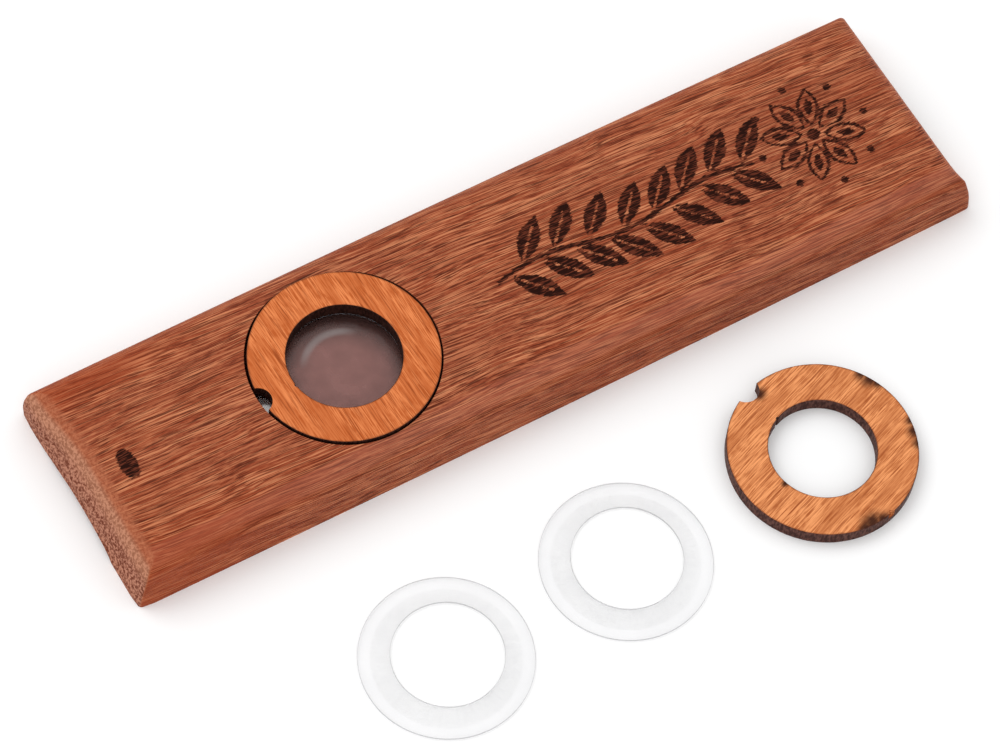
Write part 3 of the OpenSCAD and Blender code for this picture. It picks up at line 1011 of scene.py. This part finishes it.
def film_material(name, colour, alpha, roughness, centre=(0, 0), shaded=0.0):
    """Thin translucent film, stretched in faint ripples, with painted shade where the wall round it shades it
    and a painted arc of highlight, when asked for.
    """
    material, tree, shader = new_material(name, colour, roughness)
    place = place_in_mm(tree, centre)
    ripples = noise_at(tree, place, scale=0.35, detail=2.0)
    pale = tuple(min(1.0, c * FILM_PALER) for c in colour[:3]) + (1,)
    tinted = lay(tree, colour, pale, rise(tree, ripples, *MIDDLE_TONES))
    if shaded:
        # Painted shade: darker away from a point near the lower left, where the wall round the film would
        # shade it
        from_light = from_axis(tree, vector_maths(tree, "ADD", place, SHADE_SHIFT))
        tinted = lay(tree, tinted, FILM_SHADE, rise(tree, from_light, *SHADE_REACH), shaded)
        # Painted highlight: a pale arc on the film's far side, where a light would be reflected
        off_arc = maths(tree, "ABSOLUTE", minus(tree, from_axis(tree, place), ARC_RADIUS))
        sides = put(tree, "ShaderNodeSeparateXYZ", {0: place}).outputs
        north = minus(tree, sides["Y"], times(tree, sides["X"], ARC_SLANT))
        painted_arc = times(tree, rise(tree, off_arc, *ARC_SOFTNESS), rise(tree, north, *ARC_NORTH))
        tinted = lay(tree, tinted, FILM_PAINTED_HIGHLIGHT, painted_arc, strength=0.5)
    tree.links.new(tinted, shader.inputs["Base Color"])
    cloudy = rise(tree, ripples, 0.0, 1.0, low=alpha * 0.95, high=alpha * 1.05)
    tree.links.new(cloudy, shader.inputs["Alpha"])
    dull = rise(tree, ripples, *MIDDLE_TONES, low=roughness * 0.85, high=roughness * 1.15)
    tree.links.new(dull, shader.inputs["Roughness"])
    bumps(tree, shader, ripples, strength=0.5, distance=0.2 * MM)
    return material


# Camera, lights and floor

CAMERA_PLACE, CAMERA_AIM = Vector((-168.126, -225.008, 479.71)) * MM, Vector((-8.656, -12.024, 8.182)) * MM
CAMERA_ROLL = math.radians(7.468)
CAMERA_SENSOR, CAMERA_LENS, CAMERA_CLIP = 36, 153.33, 5
SOFTBOX_PLACE, SOFTBOX_SIZE, SOFTBOX_POWER = (-0.25, 0.35, 0.6), 0.5, 1.2
FLOOR_HALF, FLOOR_WHITE, FLOOR_ROUGHNESS, SKY_WHITE = 3, (0.96, 0.96, 0.96, 1), 0.9, (1, 1, 1, 1)


def camera():
    """The photograph's viewing angle: high over the near left corner, turned a little."""
    data = bpy.data.cameras.new("camera")
    data.sensor_width = CAMERA_SENSOR
    data.lens = CAMERA_LENS
    data.clip_end = CAMERA_CLIP
    obj = bpy.data.objects.new("camera", data)
    turn = (CAMERA_AIM - CAMERA_PLACE).to_track_quat("-Z", "Y").to_matrix().to_4x4()
    obj.matrix_world = Matrix.Translation(CAMERA_PLACE) @ turn @ Matrix.Rotation(CAMERA_ROLL, 4, "Z")
    bpy.context.scene.collection.objects.link(obj)
    bpy.context.scene.camera = obj


def softbox():
    """A square soft light that faces the object."""
    light = bpy.data.lights.new("softbox", "AREA")
    light.shape = "SQUARE"
    light.size = SOFTBOX_SIZE
    light.energy = SOFTBOX_POWER
    lamp = bpy.data.objects.new("softbox", light)
    lamp.location = SOFTBOX_PLACE
    lamp.rotation_mode = "QUATERNION"
    lamp.rotation_quaternion = (-lamp.location).to_track_quat("-Z", "Y")
    bpy.context.scene.collection.objects.link(lamp)


def studio():
    """A pale floor, a soft white surround and one large soft light."""
    bm = bmesh.new()
    bmesh.ops.create_grid(bm, x_segments=1, y_segments=1, size=FLOOR_HALF)
    floor = new_piece("floor", bm)
    material, _, shader = new_material("floor", FLOOR_WHITE, FLOOR_ROUGHNESS)
    shader.inputs["Specular IOR Level"].default_value = FLOOR_SHEEN
    floor.data.materials.append(material)
    world = bpy.data.worlds.new("world")
    bpy.context.scene.world = world
    world.use_nodes = True
    world.node_tree.nodes["Background"].inputs["Color"].default_value = SKY_WHITE
    world.node_tree.nodes["Background"].inputs["Strength"].default_value = 1.0
    softbox()
    bpy.context.scene.view_settings.view_transform = "Standard"


def place_piece(piece, material, body, slot, *nodes):
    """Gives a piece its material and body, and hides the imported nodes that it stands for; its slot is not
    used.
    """
    piece.data.materials.clear()
    piece.data.materials.append(material)
    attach(piece, body)
    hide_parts(*nodes)


camera()
studio()
place_piece(bar(), hardwood_material(), "body", "hardwood", "body")

fitted_ring = wooden_ring("fitted_ring", ring_low.z, ring_high.z, seat_centre, FITTED_HOLE_RADIUS, NOTCH_TURN)
fitted_wood = ring_wood_material(
    "fitted_ring_wood", FITTED_LIGHT, FITTED_DEEP, FITTED_WALLS_CHAR_AND_SHADE, seat_centre, FITTED_HOLE_RADIUS, NOTCH_TURN,
)
place_piece(fitted_ring, fitted_wood, "retaining_ring", "ring_wood", "retaining_ring")

# The notch takes the loose ring's box in at the far side, so its middle comes from the other two sides
spare_centre = (spare_ring_high.x - RING_RADIUS, spare_ring_low.y + RING_RADIUS)
loose_ring = wooden_ring(
    "loose_ring", spare_ring_low.z, spare_ring_high.z, spare_centre, LOOSE_HOLE_RADIUS, SPARE_NOTCH_TURN,
    CHIP_TURN,
)
loose_wood = ring_wood_material(
    "loose_ring_wood", LOOSE_LIGHT, LOOSE_DEEP, LOOSE_WALLS, spare_centre, LOOSE_HOLE_RADIUS,
    SPARE_NOTCH_TURN, SCORCHES,
)
place_piece(loose_ring, loose_wood, "spare_retaining_ring", "ring_wood", "spare_retaining_ring")

clear_plastic = clear_plastic_material()
fitted_film = film_material("fitted_film", FITTED_FILM_AND_PAINTED_SHADE, 0.85, 0.25, centre=seat_centre, shaded=0.9)
spare_film = film_material("spare_film", SPARE_FILM, 0.04, 0.2)
for carrier_name, film_name, body, carrier_node, film_node in (
    ("fitted_carrier", "fitted_film", "membrane", "membrane_carrier", "membrane_film"),
    ("loose_carrier_1", "loose_film_1", "spare_membrane_1", "spare_carrier_1", "spare_film_1"),
    ("loose_carrier_2", "loose_film_2", "spare_membrane_2", "spare_carrier_2", "spare_film_2"),
):
    if body == "membrane":
        carrier = clear_carrier(carrier_name, carrier_node, HOLE_RADIUS, CENTRED, FITTED_CARRIER_SLIP)
    else:
        carrier = clear_carrier(carrier_name, carrier_node, LOOSE_CARRIER_HOLE, LOOSE_CARRIER_SHIFT, CENTRED)
    place_piece(carrier, clear_plastic, body, "clear_plastic", carrier_node)
    film = thin_film(film_name, film_node, RIPPLE if body == "membrane" else 0.0)
    place_piece(film, fitted_film if body == "membrane" else spare_film, body, "film", film_node)
